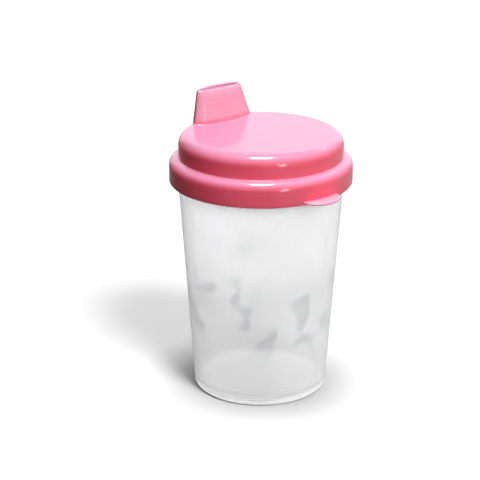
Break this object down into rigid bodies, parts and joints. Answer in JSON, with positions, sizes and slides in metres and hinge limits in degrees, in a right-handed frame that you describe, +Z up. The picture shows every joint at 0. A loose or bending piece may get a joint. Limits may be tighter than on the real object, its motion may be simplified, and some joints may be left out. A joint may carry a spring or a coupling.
{
  "type": "sippy cup",
  "caption": "Tapered frosted tumbler with a press-fit lid that carries a flat drinking spout, a pull tab and a push-in valve.",
  "frame": {"origin": "centre of the tumbler's foot ring, at the level that the cup stands on", "axes": "+Z up along the cup's axis; the spout points halfway between -X and +Y and the pull tab halfway between +X and -Y"},
  "size_m": [0.078, 0.078, 0.128],
  "materials": {
    "frosted_polypropylene": "translucent, finely frosted",
    "pink_polypropylene": "glossy, slightly translucent",
    "clear_silicone": "satin silicone"
  },
  "bodies": {
    "cup": {"tumbler": "frosted_polypropylene"},
    "snap_lid": {"lid": "pink_polypropylene"},
    "valve": {"spill_valve": "clear_silicone"}
  },
  "joints": [
    {"name": "lid_lift", "type": "slide", "parent": "cup", "child": "snap_lid", "axis": [0, 0, 1], "range_m": [0, 0.04]},
    {"name": "valve_pull", "type": "slide", "parent": "snap_lid", "child": "valve", "axis": [0, 0, -1], "range_m": [0, 0.015]}
  ]
}
